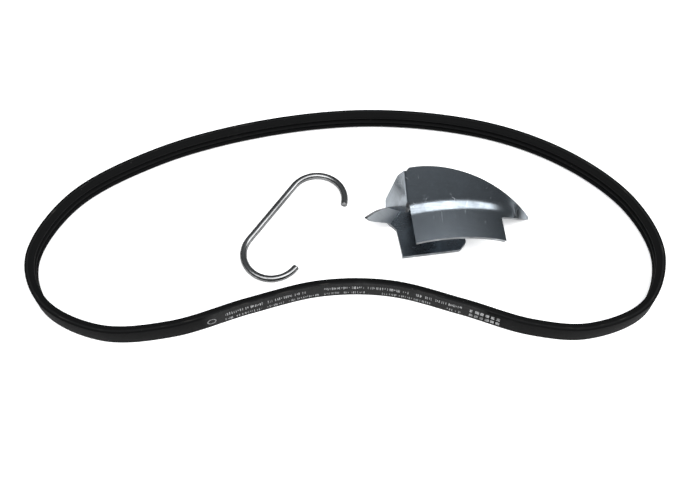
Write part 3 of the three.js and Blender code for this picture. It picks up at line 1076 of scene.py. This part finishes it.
    def flare_edge(self, x: Array) -> Array:
        """The flare's free edge: high at the left and falling off as a power of the share along.

        Args:
            x: along the shoe.

        Returns:
            The distance from the bend line, along the sheet.
        """
        share = np.clip((x - self.inset) / (self.nose_x - self.inset), 0, 1)
        tip = self.nose_lift + self.nose_tip / 2
        corner = np.clip(self.flare_corner - (x - self.inset), 0, None)
        return tip + (self.flare_height - tip) * (1 - share**self.flare_fade) - corner

    def nose_edge(self, x: Array) -> Array:
        """The nose's lower edge, drawn in towards the tip as a power of the share left.

        Args:
            x: along the shoe.

        Returns:
            The distance from the bend line, along the sheet.
        """
        share = np.clip((x - self.right) / (self.nose_x - self.right), 0, 1)
        tip = self.nose_lift - self.nose_tip / 2
        return tip - (self.nose_strip + tip) * (1 - share) ** self.nose_fade

    def build(self) -> list[bpy.types.Object]:
        """Makes and dresses the guide and the base.

        Returns:
            Both pieces.
        """
        guide, base = self.guide(), self.base()
        guide_finish = ZincFinish(
            "guide_zinc", dull=0.145, bright=0.275, roughness=0.125, turn=8.0, scratches=0.7, cool=0.11
        )
        base_finish = ZincFinish(
            "base_zinc", dull=0.17, bright=0.27, roughness=0.20, turn=98.0, scratches=0.4, cool=0.13
        )
        # The ear is the base plate's own sheet, given a much paler copy of its zinc: painted light that
        # stands in for the light the ear catches.
        ear_painted_light_finish = ZincFinish(
            "ear_zinc_painted_light", dull=0.62, bright=0.78, roughness=0.34, turn=50.0, scratches=0.6
        )
        # The sheets' cut edges: dark sheared steel clouded with bright patches, which are painted glints
        # along the edges.
        cut_edge_painted_glints = ZincFinish("sheared_zinc_painted_glints", dull=0.04, bright=0.30, roughness=0.40, scratches=0.8).make()
        for piece, finishes, node, slot in (
            (guide, (guide_finish,), "shoe_guide", "plated_guide_sheet"),
            (base, (base_finish, ear_painted_light_finish), "shoe_base", "plated_base_sheet"),
        ):
            sheet = thicken(piece, self.sheet, self.edge)
            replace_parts(piece, node)
            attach(piece, Body.SHOE.value)
            for finish in finishes:
                piece.data.materials.append(finish.make())
            piece.data.materials.append(cut_edge_painted_glints)
            # The rim faces of the thickened sheet take the cut-edge material with its painted glints.
            sheet.material_offset_rim = len(piece.data.materials) - 1
        return [guide, base]

    def guide(self) -> bpy.types.Object:
        """The pressed guide as one layer: flare and nose, saddle, and the cheek folded back.

        The upper part is a grid in x and the share from the nose's lower edge to the flare's free
        edge. The saddle hangs from its lower line, and the cheek follows its left side.

        Returns:
            The sheet, before it has its thickness.
        """
        rows, columns, saddle_columns = 150, 64, 22
        x = np.linspace(self.inset + self.guide_ease, self.nose_x, rows)
        share = np.linspace(0, 1, columns)
        low, high = self.nose_edge(x)[:, None], self.flare_edge(x)[:, None]
        upper = self.guide_face(x[:, None] + 0 * share, low + share * (high - low)).reshape(-1, 3)
        faces = [grid_faces(rows, columns)]
        under = int(np.searchsorted(x, self.right)) + 1
        down = np.linspace(0, 1, saddle_columns)[1:]
        xs = x[:under, None] + 0 * down
        start = self.nose_edge(x[:under])[:, None]
        saddle = self.guide_face(xs, start + down * (-self.length - start)).reshape(-1, 3)
        first = len(upper)
        number = np.arange(under * len(down)).reshape(under, -1) + first
        number = np.column_stack([np.arange(under) * columns, number])
        hung = grid_faces(under, saddle_columns)
        faces.append(number.ravel()[hung][:, ::-1])
        left = np.concatenate([number[0, ::-1], np.arange(1, columns)])
        side, side_faces = self.cheek(np.vstack([upper, saddle]), left, first + len(saddle))
        faces.append(side_faces)
        points = np.vstack([upper, saddle, side])
        return make_piece("shoe_guide_sheet", self.stand(points), np.vstack(faces).tolist())

    def cheek(self, points: Array, left: Index, first: int) -> tuple[Array, Index]:
        """The strip that ends the saddle's left side, and the fold and cheek beside the flare.

        Args:
            points: the guide's points so far.
            left: numbers of the points down its left side, from the front edge up.
            first: the number of the next point.

        Returns:
            New points, and faces that use old and new ones.
        """
        edge = points[left]
        outer = edge.copy()
        outer[:, 0] -= self.guide_ease
        outer[:, 2] += self.arch_drop(edge[:, 0]) - self.arch_drop(outer[:, 0])
        strip = np.stack([left, first + np.arange(len(left))])
        strip_faces = strip.ravel()[grid_faces(2, len(left))][:, ::-1]
        up = self.flare_height
        start = self.guide_face(np.array(self.inset), np.array(self.bend_run))
        along = self.guide_face(np.array(self.inset), np.array(up)) - start
        along /= np.linalg.norm(along)
        behind = np.array([0.0, along[2], -along[1]])
        touching = 1e-6
        flared = outer[(outer - start) @ along >= -touching]
        place = (flared - start) @ along
        fold = np.radians(self.cheek_fold)
        away = np.array([-np.cos(fold), 0, 0]) + behind * np.sin(fold)
        corner = np.array([self.cheek_back, self.cheek_foot]) - start[1:]
        foot, reach = np.linalg.solve(np.stack([along[1:], away[1:]], -1), corner)
        rise = up - self.bend_run
        top = rise - self.flare_corner
        share = (place - place.min()) / (place.max() - place.min())
        outer[-len(flared):] += (place.min() + share * (top - place.min()) - place)[:, None] * along
        bent = np.linspace(0, fold, 9)[1:]
        outwards = np.array([-1.0, 0, 0])
        swept = self.cheek_bend * (np.sin(bent)[:, None] * outwards + (1 - np.cos(bent))[:, None] * behind)
        depth = np.linspace(0, 1, 40)[1:] * reach
        line = np.vstack([swept, swept[-1] + depth[:, None] * away])
        gone = np.concatenate([np.zeros(len(bent)), depth])
        out, below = self.cheek_shoulder
        low = np.interp(gone, [0, self.cheek_toe, reach], [place.min(), foot, foot])
        high = np.interp(
            gone,
            [0, out, reach - self.cheek_tip, reach],
            [top, rise - below, -self.cheek_tip, foot + self.cheek_end],
        )
        lay = low[:, None] + share * (high - low)[:, None]
        flap = start + line[:, None] + lay[..., None] * along
        count = len(flared)
        base = first + len(left) - count
        flap_faces = stitch(base + np.arange(count), len(flap), first + len(left))[:, ::-1]
        return np.vstack([outer, flap.reshape(-1, 3)]), np.vstack([strip_faces, flap_faces])

    def base(self) -> bpy.types.Object:
        """The folded base as one layer: plate, ear, rear web and the tongue under the saddle.

        Returns:
            The sheet, before it has its thickness.
        """
        lean = np.radians(self.ear_lean)
        along = np.array([np.cos(lean), np.sin(lean), 0])
        fold_start = np.array([-self.ear_outset, self.ear_start, self.sheet])
        samples = np.linspace(0, 1, 15)
        fold_line = fold_start + samples[:, None] * self.ear_fold * along
        rear = self.base_depth - self.sheet / 2 - self.bracket_bend
        half = self.bracket_width / 2
        web_x = self.crest_x + half * (1 - 2 * np.linspace(0, 1, 9))
        web_line = np.stack([web_x, 0 * web_x + rear, 0 * web_x + self.sheet], -1)
        right = self.base_width
        corners = np.array([[0, 0], [right - self.chamfer, 0], [right, self.chamfer], [right, rear]])
        turned = rounded(corners, np.array(self.plate_radii), 5)
        front = np.column_stack([turned, np.full(len(turned), self.sheet)])
        step = np.array([[fold_line[-1, 0] + self.ear_relief, rear + self.sheet / 2, self.sheet]])
        lead = np.array([[0, self.ear_start - self.ear_lead, self.sheet]])
        outline = np.vstack([front, web_line, step, fold_line[::-1], lead])
        plate = [list(range(len(outline)))]
        web_at = len(front) + np.arange(len(web_line))
        ear_at = len(front) + len(web_line) + 1 + np.arange(len(fold_line))[::-1]
        ear, ear_faces = self.ear(fold_line, along, ear_at, len(outline))
        web, web_faces = self.web(web_x, web_at, len(outline) + len(ear))
        points = np.vstack([outline, ear, web])
        faces = [*plate, *ear_faces.tolist(), *web_faces.tolist()]
        piece = make_piece("shoe_base_sheet", self.stand(points), faces)
        fold = self.fold_rows * (len(fold_line) - 1)
        # Material 1 is the ear's paler zinc with painted light; the plate, the fold and the web keep the
        # base zinc.
        finish = np.repeat([0, 1, 0], [len(plate) + fold, len(ear_faces) - fold, len(web_faces)])
        piece.data.polygons.foreach_set("material_index", finish)
        return piece

    def ear(self, fold_line: Array, along: Array, fold_at: Index, first: int) -> tuple[Array, Index]:
        """The horn-shaped ear beyond its fold.

        The fold is an arc of small radius. Beyond it, each row runs from the ear's front edge to its
        back edge, both smooth lines that meet at the tip.

        Args:
            fold_line: points where the fold leaves the plate.
            along: the fold's direction.
            fold_at: their numbers.
            first: the number of the next point.

        Returns:
            New points, and faces that use old and new ones.
        """
        rise = np.radians(self.ear_rise)
        flat = np.array([-along[1], along[0], 0.0])
        away = flat * np.cos(rise) + np.array([0, 0, np.sin(rise)])
        bent, upwards = np.linspace(0, rise, self.fold_rows + 1)[1:], np.array([0, 0, 1.0])
        swept = self.ear_bend * (np.sin(bent)[:, None] * flat + (1 - np.cos(bent))[:, None] * upwards)
        arc = fold_line + swept[:, None]
        shares = np.linspace(0, 1, 34)[1:]
        front = through(np.array(self.ear_front), shares)
        back = through(np.array(self.ear_back), shares)
        across = np.linspace(0, 1, len(fold_line))[None, :, None]
        flap = front[:, None] + across * (back - front)[:, None]
        horn = fold_line[0] + swept[-1] + flap[..., :1] * along + flap[..., 1:] * away
        rows = np.vstack([arc, horn])
        return rows.reshape(-1, 3), stitch(fold_at, len(rows), first)[:, ::-1]

    def web(self, x: Array, web_at: Index, first: int) -> tuple[Array, Index]:
        """The rear web, turned up from the plate and then forward as the tongue under the saddle.

        Args:
            x: places across the web.
            web_at: numbers of the plate's points where it starts.
            first: the number of the next point.

        Returns:
            New points, and faces that use old and new ones.
        """
        inner = self.bracket_bend - self.sheet / 2
        slope = np.tan(np.radians(self.slope))
        drop = self.arch_drop(np.array(self.crest_x + self.bracket_width / 2)) + self.weld_gap + self.sheet
        back = self.base_depth - self.sheet

        def under(y: Array | float) -> Array | float:
            """The tongue's height at a place behind the front edge."""
            return self.crest_z - self.sheet - drop - (self.bend_y - y) * slope

        quarter = np.linspace(0, np.pi / 2, 8)
        foot_y = back - inner + inner * np.sin(quarter)
        foot = np.stack([foot_y, self.sheet + inner * (1 - np.cos(quarter))], -1)
        top = under(back)
        lean = np.linspace(0, np.pi / 2 - np.arctan(slope), 8)
        head = np.stack([back - inner * (1 - np.cos(lean)), top - inner + inner * np.sin(lean)], -1)
        y_end = np.linspace(head[-1, 0], self.setback, 12)[1:]
        tongue = np.stack([y_end, under(y_end) + (head[-1, 1] - under(head[-1, 0]))], -1)
        rise = np.linspace(foot[-1, 1], head[0, 1], 8)[1:-1]
        line = np.vstack([foot[1:], np.stack([0 * rise + back, rise], -1), head, tongue])
        rows = np.stack(np.broadcast_arrays(x[None, :], line[:, :1], line[:, 1:]), -1)
        return rows.reshape(-1, 3), stitch(web_at, len(rows), first)


# ---------------------------------------- studio


@dataclass
class Studio:
    """The pale table, the soft lights and the camera.

    Attributes:
        target: the point that the camera looks at, in metres.
        distance: from it to the camera.
        elevation: of the camera above the table, in degrees.
        focal: focal length over a 36 mm wide sensor.
    """

    target: tuple[float, float, float] = (0.00217, -0.01058, 0.0)
    distance: float = 0.5
    elevation: float = 60.0
    focal: float = 50.09

    def build(self) -> None:
        """Makes everything round the object."""
        self.table()
        self.sky()
        self.lamp("softbox", (0.85, -0.14, 0.95), (2.9, 0.80), 35.0, 11.0)
        self.camera()
        scene = bpy.context.scene
        scene.view_settings.view_transform = "Standard"
        scene.view_settings.look = "None"

    def table(self) -> None:
        """A wide white table top with a faint grain."""
        half = 6000.0
        corner = np.array([[-half, -half, 0], [half, -half, 0], [half, half, 0], [-half, half, 0]])
        floor = make_piece("table_top", corner - np.array([0, 0, 0.05]), [[0, 1, 2, 3]])
        material, bench, shader = new_material("table_white")
        speck = bench.noise(bench.place(), 400, 3)
        bench.tree.links.new(bench.blend(speck, grey(0.90), grey(0.93)), shader.inputs["Base Color"])
        shader.inputs["Roughness"].default_value = 0.9
        shader.inputs["Specular IOR Level"].default_value = 0.1
        shader.inputs["Emission Color"].default_value = grey(1.0)
        shader.inputs["Emission Strength"].default_value = 0.30
        floor.data.materials.append(material)

    def sky(self) -> None:
        """A dim room, lighter overhead."""
        world = bpy.data.worlds.new("room")
        bpy.context.scene.world = world
        world.use_nodes = True
        bench = Bench(world.node_tree)
        up = bench.add("SeparateXYZ", {0: bench.add("TexCoord").outputs["Generated"]}).outputs["Z"]
        shade = bench.blend(bench.ramp(up, 0.0, 1.0), grey(0.12, -0.04), grey(0.34, -0.04))
        bench.tree.links.new(shade, world.node_tree.nodes["Background"].inputs["Color"])

    def lamp(
        self,
        name: str,
        place: tuple[float, float, float],
        size: tuple[float, float],
        power: float,
        turn: float,
    ) -> None:
        """A rectangular soft light that hangs level, facing down.

        Args:
            name: the lamp's name.
            place: where it hangs, in metres.
            size: width and height.
            power: in watts.
            turn: degrees about Z.
        """
        data = bpy.data.lights.new(name, "AREA")
        data.shape = "RECTANGLE"
        data.size, data.size_y = size
        data.energy = power
        lamp = bpy.data.objects.new(name, data)
        lamp.location = place
        lamp.rotation_euler = (0.0, 0.0, np.radians(turn))
        bpy.context.scene.collection.objects.link(lamp)

    def camera(self) -> None:
        """The camera, looking along +Y and down."""
        data = bpy.data.cameras.new("camera")
        data.sensor_fit = "HORIZONTAL"
        data.sensor_width = 36.0
        data.lens = self.focal
        data.clip_start = 0.01
        camera = bpy.data.objects.new("camera", data)
        lift = np.radians(self.elevation)
        x, y, z = self.target
        camera.location = (x, y - self.distance * np.cos(lift), z + self.distance * np.sin(lift))
        camera.rotation_euler = (np.pi / 2 - lift, 0.0, 0.0)
        bpy.context.scene.collection.objects.link(camera)
        bpy.context.scene.camera = camera


def main() -> None:
    logging.basicConfig(level=logging.INFO, format="%(name)s: %(message)s")
    assemblies: tuple[tuple[str, Callable[[], list[bpy.types.Object]]], ...] = (
        ("belt", Belt().build), ("hook", Hook().build), ("shoe", Shoe().build),
    )
    for label, build in assemblies:
        for piece in build():
            log.info("%s: %s, %d faces", label, piece.name, len(piece.data.polygons))
    Studio().build()


if __name__ == "__main__":
    main()
